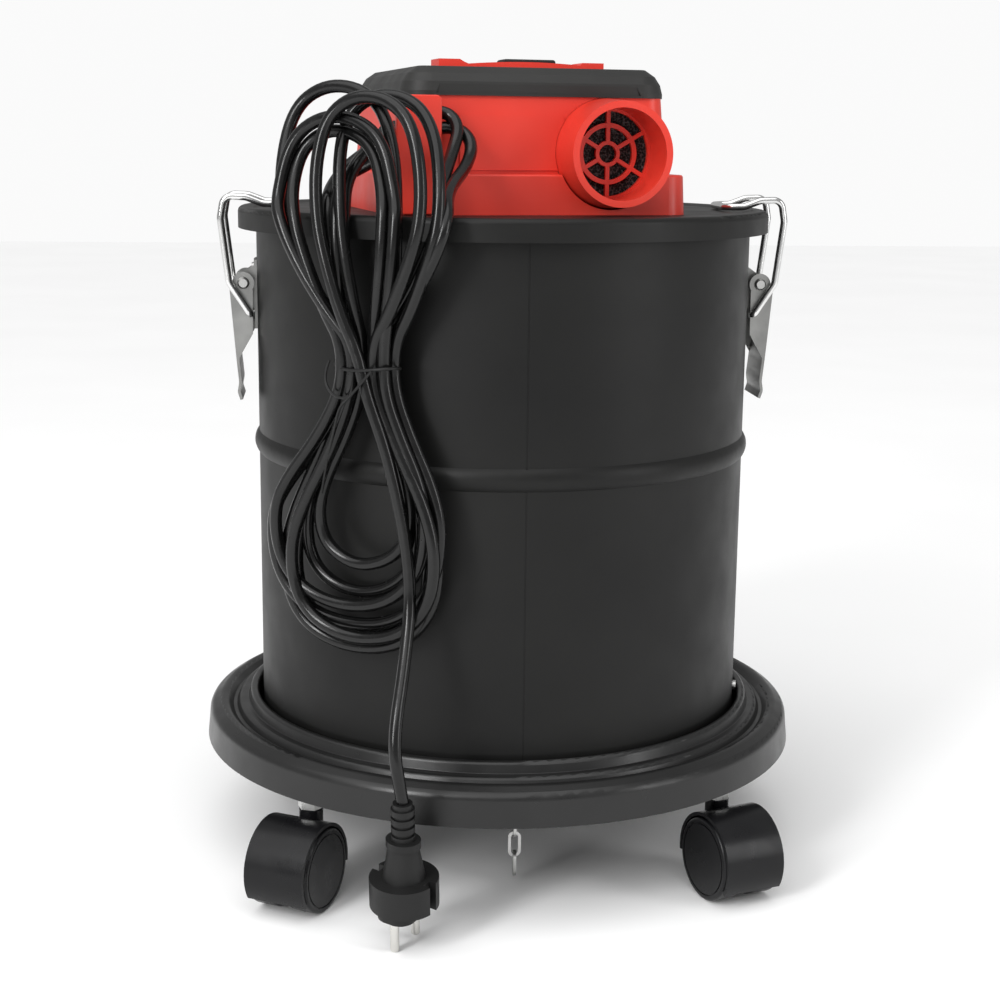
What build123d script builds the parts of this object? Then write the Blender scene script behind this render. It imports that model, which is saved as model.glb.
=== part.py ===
from build123d import *
import os
from math import cos, pi, radians, sin, tan

# A 20 litre drum vacuum for ash: a steel drum on a castered tray, and a lid that
# carries the motor head, the filter and the mains cord.
# Frame: origin on the floor under the drum's axis, +Z up, the drum's welded seam and
# the head's exhaust face -Y, the hose inlet faces +Y, the two latches sit on +X and -X.

os.makedirs("parts", exist_ok=True)

# ------------------------------------------------------------------ driving dimensions
DRUM_R = 145.0
DRUM_WALL = 1.2
DRUM_BASE_Z = 65.2
DRUM_TOP_Z = 372.0
BEAD_Z = 242.0
BEAD_HEIGHT = 2.6
BEAD_HALF = 6.0
DRUM_FLOOR_Z = 69.0
INLET_Z = 300.0
INLET_BORE_R = 20.0
INLET_TUBE_R = 22.5
INLET_INNER_Y = 135.0
INLET_STOP_Y = 147.0
INLET_STOP_R = 17.5
INLET_MOUTH_Y = 172.0
RIVET_R = 2.0

TRAY_WALL = 2.2
TRAY_FLOOR_Z = 63.0
TRAY_LIP_Z = 87.7
TRAY_EDGE_R = 177.8
TRAY_EDGE_Z = 61.2
SCREW_Z = 91.9
SCREW_AZIMUTHS = (-13.5, 166.5)

CASTER_PITCH_R = 163.0
CASTERS = {
    "rear_left": (225, -118.5),
    "rear_right": (315, -70.5),
    "front_left": (135, 118.0),
    "front_right": (45, 60.0),
}
CASTER_TRAIL = 17.0
WHEEL_R = 23.5
WHEEL_INNER = 4.2
WHEEL_OUTER = 18.8
HOOD_R = 26.3
HOOD_WALL = 2.0
HOOD_HALF = 18.0
HOOD_WEB_HALF = 3.6
NECK_R = 6.7
NECK_TOP_Z = 51.0
STEM_R = 4.0
STEM_BASE_Z = 44.6
STEM_TOP_Z = 74.0
BOSS_BASE_Z = 57.6
AXLE_R = 3.0
RUNNING = 0.05

LATCH_PIVOT = (152.3, 335.0)
BAIL_PIVOT = (148.5, 317.0)
BAIL_WIRE_R = 2.0
BAIL_HALF = 20.0
LEVER_HALF = 17.5
LEVER_SHEET = 1.6

LID_SHEET = 1.4
LID_Z = 377.0
LID_TOP_Z = LID_Z + LID_SHEET / 2
LID_HOLE_R = 62.0
LID_SKIRT_R = 154.65
LID_SKIRT_Z = 366.7

HEAD_TURN = 9.5
BASE_HALF = 85.3
BASE_HEIGHT = 21.8
BASE_TOP_Z = LID_TOP_Z + BASE_HEIGHT
BODY_HALF = 76.5
BODY_DRAFT = 4.8
CAP_Z = 441.0
BODY_HEIGHT = CAP_Z - BASE_TOP_Z
CAP_HALF = 74.8
CAP_BAND = 2.4
CAP_CORNER = 15.0
# The cap's rounded flank: the height and the lean of each of its three bands.
CAP_FLANK = ((5.0, 15.0), (4.4, 34.0), (3.8, 56.0))
CAP_TOP_Z = CAP_Z + CAP_BAND + sum(rise for rise, lean in CAP_FLANK)
CAP_OPENING = 104.0
SHELL = 3.0

PORT_X = 38.8
PORT_Z = 410.8
PORT_BORE_R = 24.7
PORT_ROOT_R = 30.0
PORT_ROOT_Y = 72.0
PORT_LENGTH = 32.0
PORT_DRAFT = 3.0
PORT_BORE_LENGTH = 27.0
GRILLE_R = 24.2
GRILLE_THICKNESS = 2.5

SWITCH_Z = 420.0
ROCKER_R = 9.3

CORD_R = 3.4
HANK_TURN = 32.5
TIE_Z = 302.0


# ------------------------------------------------------------------------------ helpers
def save(piece, node):
    """Label one finished piece and write it to its own STEP file."""
    piece.part.label = node
    export_step(piece.part, f"parts/{node}.step")


def polar(radius, azimuth, z=0.0):
    """A point at a radius and azimuth about the drum's axis."""
    return (radius * cos(radians(azimuth)), radius * sin(radians(azimuth)), z)


def radial_plane(azimuth, z, radius=0.0):
    """A plane whose normal points outward from the drum's axis, with its Y up."""
    outward = polar(1, azimuth)
    return Plane(origin=polar(radius, azimuth, z), x_dir=(-outward[1], outward[0], 0), z_dir=outward)


def head_point(x, y, z):
    """A point of the motor head, which sits turned on the lid."""
    turn = radians(HEAD_TURN)
    return (x * cos(turn) - y * sin(turn), x * sin(turn) + y * cos(turn), z)


def head_plane(z):
    """A level plane in the head's own directions."""
    return Plane(origin=(0, 0, z), x_dir=head_point(1, 0, 0), z_dir=(0, 0, 1))


def head_side(x_dir, normal, origin):
    """An upright plane of the head, given in the head's own directions."""
    return Plane(origin=head_point(*origin), x_dir=head_point(*x_dir), z_dir=head_point(*normal))


def hank_plane(z):
    """A level plane whose X runs along the hank and whose Y points in to the drum's axis."""
    turn = radians(HANK_TURN)
    return Plane(origin=(0, 0, z), x_dir=(cos(turn), -sin(turn), 0), z_dir=(0, 0, 1))


def corner_radii(points):
    """The widest tangent arc each corner of a cord's route has room for."""
    radii = []
    for before, corner, after in zip(points, points[1:], points[2:]):
        run_in = Vector(*corner) - Vector(*before)
        run_out = Vector(*after) - Vector(*corner)
        half_turn = radians(run_in.get_angle(run_out)) / 2
        radii.append(0.45 * min(run_in.length, run_out.length) / tan(half_turn))
    return radii


def cord_tube(points, name):
    """A round cord along straight runs and tangent arcs."""
    radii = corner_radii(points)
    with BuildPart() as tube:
        with BuildLine() as route:
            FilletPolyline(*points, radius=radii)
        with BuildSketch(Plane(origin=route.line @ 0, z_dir=route.line % 0)):
            Circle(CORD_R)
        sweep()
    length = sum(edge.length for edge in route.edges())
    expected = pi * CORD_R**2 * length
    print(f"{name}: length {length:.1f} mm, volume {tube.part.volume:.0f} of {expected:.0f} mm3")
    print(f"{name}: radii {[round(radius, 1) for radius in radii]}")
    return tube


# --------------------------------------------------------------------------- dolly tray
tray_line = [
    (0, TRAY_FLOOR_Z),
    (148.7, TRAY_FLOOR_Z),
    (148.7, TRAY_LIP_Z),
    (151.6, TRAY_LIP_Z),
    (153.4, 81.5),
    (158.6, 81.5),
    (160.6, 77.3),
    (163.8, 77.3),
    (168.6, 82.4),
    (TRAY_EDGE_R - 1.6, 78.0),
    (TRAY_EDGE_R, TRAY_EDGE_Z),
]
with BuildPart() as dolly_tray:
    with BuildSketch(Plane.XZ):
        with BuildLine():
            FilletPolyline(*tray_line, radius=[3.0, 1.4, 1.4, 1.6, 1.6, 1.5, 1.5, 3.2, 4.5])
        trace(line_width=TRAY_WALL)
    revolve(axis=Axis.Z)
    with BuildSketch(Plane.XY.offset(BOSS_BASE_Z)):
        with PolarLocations(CASTER_PITCH_R, 4, start_angle=45):
            Circle(9.0)
    extrude(until=Until.NEXT)
    with BuildSketch(Plane.XY.offset(BOSS_BASE_Z)):
        with PolarLocations(CASTER_PITCH_R, 4, start_angle=45):
            Circle(STEM_R)
    extrude(amount=STEM_TOP_Z - BOSS_BASE_Z, mode=Mode.SUBTRACT)
save(dolly_tray, "dolly_tray")

with BuildPart() as tray_screws:
    for azimuth in SCREW_AZIMUTHS:
        with BuildSketch(radial_plane(azimuth, SCREW_Z, DRUM_R + 0.2)):
            Circle(3.0)
        extrude(amount=1.8)
        with BuildSketch(radial_plane(azimuth, SCREW_Z, DRUM_R - 5)):
            Circle(RIVET_R)
        extrude(amount=5.4)
save(tray_screws, "tray_screws")

# ------------------------------------------------------------------------------ casters
with BuildPart() as caster_stems:
    with BuildSketch(Plane.XY.offset(STEM_BASE_Z)):
        with PolarLocations(CASTER_PITCH_R, 4, start_angle=45):
            Circle(STEM_R)
    extrude(amount=STEM_TOP_Z - STEM_BASE_Z)
    with BuildSketch(Plane.XY.offset(NECK_TOP_Z + 0.9)):
        with PolarLocations(CASTER_PITCH_R, 4, start_angle=45):
            RegularPolygon(7.4, 6)
    extrude(amount=BOSS_BASE_Z - NECK_TOP_Z - 0.9)
save(caster_stems, "caster_stems")


# One caster is drawn with its stem on the Z axis and its trail along +X.
axle_centre = (CASTER_TRAIL, WHEEL_R)
cover_limits = (-31, -75, -120, -165, -172)
cover_gap = [(0, 0)] + [polar(2 * HOOD_R, angle)[:2] for angle in cover_limits]

with BuildPart() as caster_hood:
    with BuildSketch(Plane.XZ):
        with Locations(axle_centre):
            Circle(HOOD_R)
            Polygon(*cover_gap, align=None, mode=Mode.SUBTRACT)
    extrude(amount=HOOD_HALF, both=True)
    with BuildSketch(Plane.XZ):
        with Locations(axle_centre):
            Circle(9.0)
    extrude(amount=HOOD_WEB_HALF, both=True)
    with BuildSketch(Plane.XY.offset(WHEEL_R)):
        Circle(NECK_R)
    extrude(amount=NECK_TOP_Z - WHEEL_R)
    for near, direction in ((HOOD_WEB_HALF, 1), (-HOOD_WEB_HALF, -1)):
        with BuildSketch(Plane.XZ.offset(near)):
            with Locations(axle_centre):
                Circle(HOOD_R - HOOD_WALL)
        extrude(amount=direction * HOOD_HALF, mode=Mode.SUBTRACT)
    with BuildSketch(Plane.XY.offset(STEM_BASE_Z - 0.3)):
        Circle(STEM_R + RUNNING)
    extrude(amount=NECK_TOP_Z, mode=Mode.SUBTRACT)
    with BuildSketch(Plane.XZ):
        with Locations(axle_centre):
            Circle(AXLE_R)
    extrude(amount=HOOD_WEB_HALF, both=True, mode=Mode.SUBTRACT)

with BuildPart() as caster_axle:
    with BuildSketch(Plane.XZ):
        with Locations(axle_centre):
            Circle(AXLE_R)
    extrude(amount=15.0, both=True)

with BuildPart() as caster_wheel_a:
    with BuildSketch(Plane.XZ.offset(WHEEL_INNER)):
        with Locations(axle_centre):
            Circle(WHEEL_R)
    extrude(amount=WHEEL_OUTER - WHEEL_INNER)
    fillet(caster_wheel_a.edges().filter_by(GeomType.CIRCLE), radius=1.6)
    with BuildSketch(Plane.XZ.offset(WHEEL_OUTER)):
        with Locations(axle_centre):
            Circle(20.6)
            Circle(19.8, mode=Mode.SUBTRACT)
    extrude(amount=-0.7, mode=Mode.SUBTRACT)
    with BuildSketch(Plane.XZ.offset(WHEEL_INNER)):
        with Locations(axle_centre):
            Circle(AXLE_R + RUNNING)
    extrude(amount=11.4, mode=Mode.SUBTRACT)

with BuildPart() as caster_wheel_b:
    add(caster_wheel_a.part.mirror(Plane.XZ))

caster_pieces = {"hood": caster_hood, "axle": caster_axle, "wheel_a": caster_wheel_a, "wheel_b": caster_wheel_b}
for corner, (stem_azimuth, trail_azimuth) in CASTERS.items():
    stem_place = Location(polar(CASTER_PITCH_R, stem_azimuth), (0, 0, trail_azimuth))
    for name, drawn in caster_pieces.items():
        with BuildPart() as placed:
            add(drawn.part.moved(stem_place))
        save(placed, f"caster_{corner}_{name}")

# --------------------------------------------------------------------------------- drum
front = Plane(origin=(0, 0, INLET_Z), x_dir=(-1, 0, 0), z_dir=(0, 1, 0))
wall_mid_r = DRUM_R - DRUM_WALL / 2

with BuildPart() as drum_wall:
    with BuildSketch(Plane.XZ):
        with BuildLine():
            Line((wall_mid_r, DRUM_BASE_Z), (wall_mid_r, BEAD_Z - BEAD_HALF))
            ThreePointArc(
                (wall_mid_r, BEAD_Z - BEAD_HALF),
                (wall_mid_r + BEAD_HEIGHT, BEAD_Z),
                (wall_mid_r, BEAD_Z + BEAD_HALF),
            )
            Line((wall_mid_r, BEAD_Z + BEAD_HALF), (wall_mid_r, DRUM_TOP_Z - 2))
        trace(line_width=DRUM_WALL)
        with Locations((DRUM_R + 1.0, DRUM_TOP_Z - 2.0)):
            Circle(2.0)
    revolve(axis=Axis.Z)
    with BuildSketch(front):
        Circle(INLET_TUBE_R)
        with GridLocations(48, 48, 2, 2):
            Circle(RIVET_R)
    extrude(amount=DRUM_R + 5, mode=Mode.SUBTRACT)
    for azimuth in SCREW_AZIMUTHS:
        with BuildSketch(radial_plane(azimuth, SCREW_Z)):
            Circle(RIVET_R)
        extrude(amount=DRUM_R + 5, mode=Mode.SUBTRACT)
    for azimuth in (0, 180):
        with BuildSketch(radial_plane(azimuth, LATCH_PIVOT[1])):
            with Locations((0, 8), (0, -20)):
                Circle(RIVET_R)
        extrude(amount=DRUM_R + 5, mode=Mode.SUBTRACT)
    with BuildSketch(Plane.XY.offset(DRUM_BASE_Z)):
        with Locations((0, -DRUM_R)):
            Rectangle(0.9, 0.6)
    extrude(amount=DRUM_TOP_Z - DRUM_BASE_Z - 5, mode=Mode.SUBTRACT)
save(drum_wall, "drum_wall")

with BuildPart() as drum_bottom:
    with BuildSketch(Plane.XZ):
        with BuildLine():
            FilletPolyline(
                (0, DRUM_FLOOR_Z),
                (DRUM_R - DRUM_WALL - 0.65, DRUM_FLOOR_Z),
                (DRUM_R - DRUM_WALL - 0.65, DRUM_FLOOR_Z + 12),
                radius=3.0,
            )
        trace(line_width=DRUM_WALL)
    revolve(axis=Axis.Z)
save(drum_bottom, "drum_bottom")

# -------------------------------------------------------------------------- hose socket
with BuildPart() as inlet_port:
    with BuildSketch(front.offset(DRUM_R - 8)):
        RectangleRounded(70, 70, 16)
    extrude(amount=14)
    with BuildSketch(Plane.XY):
        Circle(DRUM_R + 0.05)
    extrude(amount=DRUM_TOP_Z, mode=Mode.SUBTRACT)
    with BuildSketch(front.offset(INLET_INNER_Y)):
        Circle(INLET_TUBE_R)
    extrude(amount=INLET_MOUTH_Y - INLET_INNER_Y)
    with BuildSketch(front.offset(INLET_MOUTH_Y - 4)):
        Circle(INLET_TUBE_R + 1.8)
    extrude(amount=4)
    with BuildSketch(front.offset(INLET_STOP_Y)):
        Circle(INLET_BORE_R)
    extrude(amount=INLET_MOUTH_Y - INLET_STOP_Y, mode=Mode.SUBTRACT)
    with BuildSketch(front.offset(INLET_INNER_Y)):
        Circle(INLET_STOP_R)
    extrude(amount=INLET_MOUTH_Y - INLET_INNER_Y, mode=Mode.SUBTRACT)
    with BuildSketch(front.offset(INLET_INNER_Y)):
        with GridLocations(48, 48, 2, 2):
            Circle(RIVET_R)
    extrude(amount=30, mode=Mode.SUBTRACT)
save(inlet_port, "inlet_port")

# ------------------------------------------------------------------------------ latches
# Drawn on +X in the plane of X and Z, then mirrored to -X.
latch_side = Plane.XZ
BRACKET_HALF = 12.0
BRACKET_SHEET = 1.6

with BuildPart() as latch_bracket_right:
    with BuildSketch(Plane.XY.offset(LATCH_PIVOT[1] - 27)):
        Circle(DRUM_R + 0.05 + BRACKET_SHEET)
        Circle(DRUM_R + 0.05, mode=Mode.SUBTRACT)
        with Locations((-DRUM_R, 0)):
            Rectangle(4 * DRUM_R - 10, 4 * DRUM_R, mode=Mode.SUBTRACT)
    extrude(amount=40)
    with BuildSketch(Plane.XY.offset(LATCH_PIVOT[1] - 27)):
        with Locations((DRUM_R, 0)):
            Rectangle(20, 2 * BRACKET_HALF)
    extrude(amount=40, mode=Mode.INTERSECT)
    for near, direction in ((BRACKET_HALF - BRACKET_SHEET, 1), (-BRACKET_HALF + BRACKET_SHEET, -1)):
        with BuildSketch(latch_side.offset(near)):
            with Locations(LATCH_PIVOT):
                Circle(4.6)
            with BuildLine():
                Polyline(
                    (DRUM_R + 0.9, LATCH_PIVOT[1] + 10),
                    (LATCH_PIVOT[0] + 2.0, LATCH_PIVOT[1] + 4.1),
                    (LATCH_PIVOT[0] + 2.0, LATCH_PIVOT[1] - 4.1),
                    (DRUM_R + 0.9, LATCH_PIVOT[1] - 16),
                    close=True,
                )
            make_face()
        extrude(amount=direction * BRACKET_SHEET)
    with BuildSketch(latch_side):
        with Locations(LATCH_PIVOT):
            Circle(RIVET_R)
    extrude(amount=BRACKET_HALF, both=True, mode=Mode.SUBTRACT)
    with BuildSketch(radial_plane(0, LATCH_PIVOT[1])):
        with Locations((0, 8), (0, -20)):
            Circle(RIVET_R)
    extrude(amount=DRUM_R + 5, mode=Mode.SUBTRACT)
save(latch_bracket_right, "latch_bracket_right")

lever_flange = [
    (147.2, 305.5),
    (146.9, 331.0),
    (LATCH_PIVOT[0], LATCH_PIVOT[1]),
    (158.4, 334.0),
    (159.6, 331.0),
    (156.4, 289.5),
]
lever_face = [(159.6, 333.2), (156.1, 289.5), (154.9, 277.0), (155.9, 271.5), (154.4, 266.8)]
with BuildPart() as latch_lever_right:
    with BuildSketch(latch_side):
        with BuildLine():
            FilletPolyline(*lever_face, radius=[30.0, 12.0, 5.0])
        trace(line_width=LEVER_SHEET)
    extrude(amount=LEVER_HALF, both=True)
    for near, direction in ((LEVER_HALF - LEVER_SHEET, 1), (-LEVER_HALF + LEVER_SHEET, -1)):
        with BuildSketch(latch_side.offset(near)):
            Polygon(*lever_flange, align=None)
            with Locations(LATCH_PIVOT):
                Circle(6.3)
        extrude(amount=direction * LEVER_SHEET)
    with BuildSketch(latch_side):
        with Locations(LATCH_PIVOT):
            Circle(RIVET_R + RUNNING)
        with Locations(BAIL_PIVOT):
            Circle(BAIL_WIRE_R + RUNNING)
    extrude(amount=LEVER_HALF + 1, both=True, mode=Mode.SUBTRACT)
save(latch_lever_right, "latch_lever_right")

bail_side = [
    (BAIL_PIVOT[0], 14.4, BAIL_PIVOT[1]),
    (BAIL_PIVOT[0], BAIL_HALF, BAIL_PIVOT[1]),
    (160.3, BAIL_HALF, 335.5),
    (164.6, BAIL_HALF, 372.0),
    (162.4, BAIL_HALF, 384.6),
    (150.0, BAIL_HALF, 384.2),
    (140.5, BAIL_HALF, 380.6),
    (129.5, BAIL_HALF, 380.3),
]
bail_route = bail_side + [(x, -y, z) for x, y, z in reversed(bail_side)]
side_radii = [2.2, 7.0, 12.0, 5.5, 9.0, 9.0, 7.0]
with BuildPart() as latch_bail_right:
    with BuildLine() as bail_line:
        FilletPolyline(*bail_route, radius=side_radii + side_radii[::-1])
    with BuildSketch(Plane(origin=bail_line.line @ 0, z_dir=bail_line.line % 0)):
        Circle(BAIL_WIRE_R)
    sweep()
save(latch_bail_right, "latch_bail_right")

with BuildPart() as latch_bracket_left:
    add(latch_bracket_right.part.mirror(Plane.YZ))
save(latch_bracket_left, "latch_bracket_left")

with BuildPart() as latch_lever_left:
    add(latch_lever_right.part.mirror(Plane.YZ))
save(latch_lever_left, "latch_lever_left")

with BuildPart() as latch_bail_left:
    add(latch_bail_right.part.mirror(Plane.YZ))
save(latch_bail_left, "latch_bail_left")

with BuildPart() as latch_pins:
    for side in (1, -1):
        with BuildSketch(Plane.XZ):
            with Locations((side * LATCH_PIVOT[0], LATCH_PIVOT[1])):
                Circle(RIVET_R)
        extrude(amount=19.4, both=True)
        for near, direction in ((LEVER_HALF + 0.15, 1), (-LEVER_HALF - 0.15, -1)):
            with BuildSketch(Plane.XZ.offset(near)):
                with Locations((side * LATCH_PIVOT[0], LATCH_PIVOT[1])):
                    Circle(3.5)
            extrude(amount=direction * 2.0, taper=28)
save(latch_pins, "latch_pins")

with BuildPart() as drum_rivets:
    with BuildSketch(front.offset(DRUM_R - 10)):
        with GridLocations(48, 48, 2, 2):
            Circle(RIVET_R)
    extrude(amount=16)
    with BuildSketch(front.offset(DRUM_R + 6)):
        with GridLocations(48, 48, 2, 2):
            Circle(3.4)
    extrude(amount=1.6, taper=25)
    for azimuth in (0, 180):
        with BuildSketch(radial_plane(azimuth, LATCH_PIVOT[1], DRUM_R - 3)):
            with Locations((0, 8), (0, -20)):
                Circle(RIVET_R)
        extrude(amount=3.05 + BRACKET_SHEET)
        with BuildSketch(radial_plane(azimuth, LATCH_PIVOT[1], DRUM_R + 0.05 + BRACKET_SHEET)):
            with Locations((0, 8), (0, -20)):
                Circle(3.2)
        extrude(amount=1.4, taper=25)
save(drum_rivets, "drum_rivets")

# --------------------------------------------------------------------- grounding chain
CHAIN_Y = -108.0
EYE_Z = 55.0
EYE_R = 4.0
EYE_WIRE_R = 1.0
LINK_WIRE_R = 0.85
LINK_PITCH = 11.6
LINK_LENGTH = 15.4
LINK_WIDTH = 7.4

with BuildPart() as chain_eyelet:
    with BuildSketch(Plane(origin=(0, CHAIN_Y, EYE_Z), x_dir=(0, 0, 1), z_dir=(1, 0, 0))):
        Circle(EYE_R + EYE_WIRE_R)
        Circle(EYE_R - EYE_WIRE_R, mode=Mode.SUBTRACT)
    extrude(amount=EYE_WIRE_R, both=True)
    with BuildSketch(Plane(origin=(0, CHAIN_Y, EYE_Z + EYE_R))):
        Circle(1.6)
    extrude(amount=TRAY_FLOOR_Z - TRAY_WALL / 2 - EYE_Z - EYE_R)
save(chain_eyelet, "chain_eyelet")

with BuildPart() as ground_chain:
    for link in range(4):
        link_top = EYE_Z - EYE_R + 2.5 - link * LINK_PITCH
        facing = (0, -1, 0) if link % 2 == 0 else (1, 0, 0)
        across = (1, 0, 0) if link % 2 == 0 else (0, 1, 0)
        link_plane = Plane(
            origin=(0, CHAIN_Y, link_top - LINK_LENGTH / 2 + LINK_WIRE_R), x_dir=across, z_dir=facing
        )
        with BuildSketch(link_plane):
            RectangleRounded(LINK_WIDTH, LINK_LENGTH, LINK_WIDTH / 2 - 0.01)
            RectangleRounded(
                LINK_WIDTH - 4 * LINK_WIRE_R,
                LINK_LENGTH - 4 * LINK_WIRE_R,
                LINK_WIDTH / 2 - 2 * LINK_WIRE_R - 0.01,
                mode=Mode.SUBTRACT,
            )
        extrude(amount=LINK_WIRE_R, both=True)
save(ground_chain, "ground_chain")

# ---------------------------------------------------------------------------------- lid
SCREW_SPOT = 140.0
lid_line = [
    (LID_HOLE_R, LID_Z),
    (141.0, LID_Z),
    (146.0, LID_Z + 1.3),
    (LID_SKIRT_R, LID_Z + 1.3),
    (LID_SKIRT_R, LID_SKIRT_Z),
]
with BuildPart() as lid:
    with BuildSketch(Plane.XZ):
        with BuildLine():
            FilletPolyline(*lid_line, radius=[5.0, 5.0, 2.6])
        trace(line_width=LID_SHEET)
    revolve(axis=Axis.Z)
    with BuildSketch(head_plane(LID_Z - 5)):
        with GridLocations(SCREW_SPOT, SCREW_SPOT, 2, 2):
            Circle(RIVET_R)
    extrude(amount=10, mode=Mode.SUBTRACT)
save(lid, "lid")

with BuildPart() as lid_seal:
    with BuildSketch(Plane.XY.offset(DRUM_TOP_Z + 0.2)):
        Circle(151.0)
        Circle(142.5, mode=Mode.SUBTRACT)
    extrude(amount=LID_Z - LID_SHEET / 2 - DRUM_TOP_Z - 0.25)
save(lid_seal, "lid_seal")

with BuildPart() as head_screws:
    with BuildSketch(head_plane(LID_Z - 3)):
        with GridLocations(SCREW_SPOT, SCREW_SPOT, 2, 2):
            Circle(RIVET_R)
    extrude(amount=16)
    with BuildSketch(head_plane(LID_Z - LID_SHEET / 2 - 2.3)):
        with GridLocations(SCREW_SPOT, SCREW_SPOT, 2, 2):
            Circle(4.0)
    extrude(amount=2.25)
save(head_screws, "head_screws")

# --------------------------------------------------------------------------- motor head
port_back = head_side((1, 0, 0), (0, -1, 0), (PORT_X, -PORT_ROOT_Y, PORT_Z))

with BuildPart() as head_base:
    with BuildSketch(head_plane(LID_TOP_Z)):
        RectangleRounded(2 * BASE_HALF, 2 * BASE_HALF, 13)
    extrude(amount=BASE_HEIGHT, taper=3)
    fillet(head_base.edges().group_by(Axis.Z)[-1], radius=1.4)
    with BuildSketch(head_plane(LID_TOP_Z)):
        RectangleRounded(2 * BASE_HALF - 2 * SHELL, 2 * BASE_HALF - 2 * SHELL, 10)
    extrude(amount=BASE_HEIGHT - SHELL, taper=3, mode=Mode.SUBTRACT)
    with BuildSketch(head_plane(LID_TOP_Z)):
        RectangleRounded(2 * BODY_HALF - 10, 2 * BODY_HALF - 10, 9)
    extrude(amount=BASE_HEIGHT, mode=Mode.SUBTRACT)
    with BuildSketch(head_plane(LID_TOP_Z)):
        with GridLocations(SCREW_SPOT, SCREW_SPOT, 2, 2):
            Circle(5.5)
    extrude(amount=BASE_HEIGHT - SHELL / 2)
    with BuildSketch(head_plane(LID_TOP_Z)):
        with GridLocations(SCREW_SPOT, SCREW_SPOT, 2, 2):
            Circle(RIVET_R)
    extrude(amount=14, mode=Mode.SUBTRACT)
    with BuildSketch(port_back.offset(-8)):
        Circle(PORT_ROOT_R + 0.4)
    extrude(amount=28, mode=Mode.SUBTRACT)
save(head_base, "head_base")

rear_face = head_side(
    (1, 0, 0),
    (0, -cos(radians(BODY_DRAFT)), sin(radians(BODY_DRAFT))),
    (0, -BODY_HALF, BASE_TOP_Z),
)
left_face = head_side(
    (0, -1, 0),
    (-cos(radians(BODY_DRAFT)), 0, sin(radians(BODY_DRAFT))),
    (-BODY_HALF, 0, BASE_TOP_Z),
)
front_face = head_side(
    (-1, 0, 0),
    (0, cos(radians(BODY_DRAFT)), sin(radians(BODY_DRAFT))),
    (0, BODY_HALF - (SWITCH_Z - BASE_TOP_Z) * tan(radians(BODY_DRAFT)), SWITCH_Z),
)

with BuildPart() as head_body:
    with BuildSketch(head_plane(BASE_TOP_Z)):
        RectangleRounded(2 * BODY_HALF, 2 * BODY_HALF, 13)
    extrude(amount=BODY_HEIGHT, taper=BODY_DRAFT)
    with BuildSketch(rear_face):
        Polygon((-45, 2.0), (-45, 31.5), (13, 31.5), (16, 25.0), (16, 2.0), align=None)
    extrude(amount=1.0)
    with BuildSketch(head_plane(BASE_TOP_Z)):
        RectangleRounded(2 * BODY_HALF - 2 * SHELL, 2 * BODY_HALF - 2 * SHELL, 10)
    extrude(amount=BODY_HEIGHT, taper=BODY_DRAFT, mode=Mode.SUBTRACT)
    with BuildSketch(port_back.offset(-10)):
        Circle(PORT_ROOT_R + 0.05)
    extrude(amount=30, mode=Mode.SUBTRACT)
    with BuildSketch(left_face.offset(-8)):
        with Locations((60, 23)):
            Circle(5.2)
    extrude(amount=20, mode=Mode.SUBTRACT)
    with BuildSketch(front_face.offset(-12)):
        Rectangle(34, 24)
    extrude(amount=30, mode=Mode.SUBTRACT)
save(head_body, "head_body")

with BuildPart() as exhaust_port:
    with BuildSketch(port_back):
        Circle(PORT_ROOT_R)
    extrude(amount=PORT_LENGTH, taper=PORT_DRAFT)
    with BuildSketch(port_back):
        Circle(GRILLE_R)
    extrude(amount=PORT_LENGTH - PORT_BORE_LENGTH, mode=Mode.SUBTRACT)
    with BuildSketch(port_back.offset(PORT_LENGTH - PORT_BORE_LENGTH)):
        Circle(PORT_BORE_R)
    extrude(amount=PORT_BORE_LENGTH, mode=Mode.SUBTRACT)
save(exhaust_port, "exhaust_port")

grille_back = port_back.offset(PORT_LENGTH - PORT_BORE_LENGTH - GRILLE_THICKNESS)
with BuildPart() as exhaust_grille:
    with BuildSketch(grille_back):
        Circle(GRILLE_R)
        Circle(GRILLE_R - 1.1, mode=Mode.SUBTRACT)
        Circle(16.7)
        Circle(14.2, mode=Mode.SUBTRACT)
        with PolarLocations((GRILLE_R + 5.5) / 2, 6, start_angle=30):
            Rectangle(GRILLE_R - 6.5, 2.2)
        Circle(7.0)
        Circle(4.9, mode=Mode.SUBTRACT)
    extrude(amount=GRILLE_THICKNESS)
save(exhaust_grille, "exhaust_grille")

with BuildPart() as exhaust_foam:
    with BuildSketch(port_back.offset(-5.0)):
        Circle(GRILLE_R - 0.2)
    extrude(amount=PORT_LENGTH - PORT_BORE_LENGTH - GRILLE_THICKNESS + 4.9)
save(exhaust_foam, "exhaust_foam")

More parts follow.
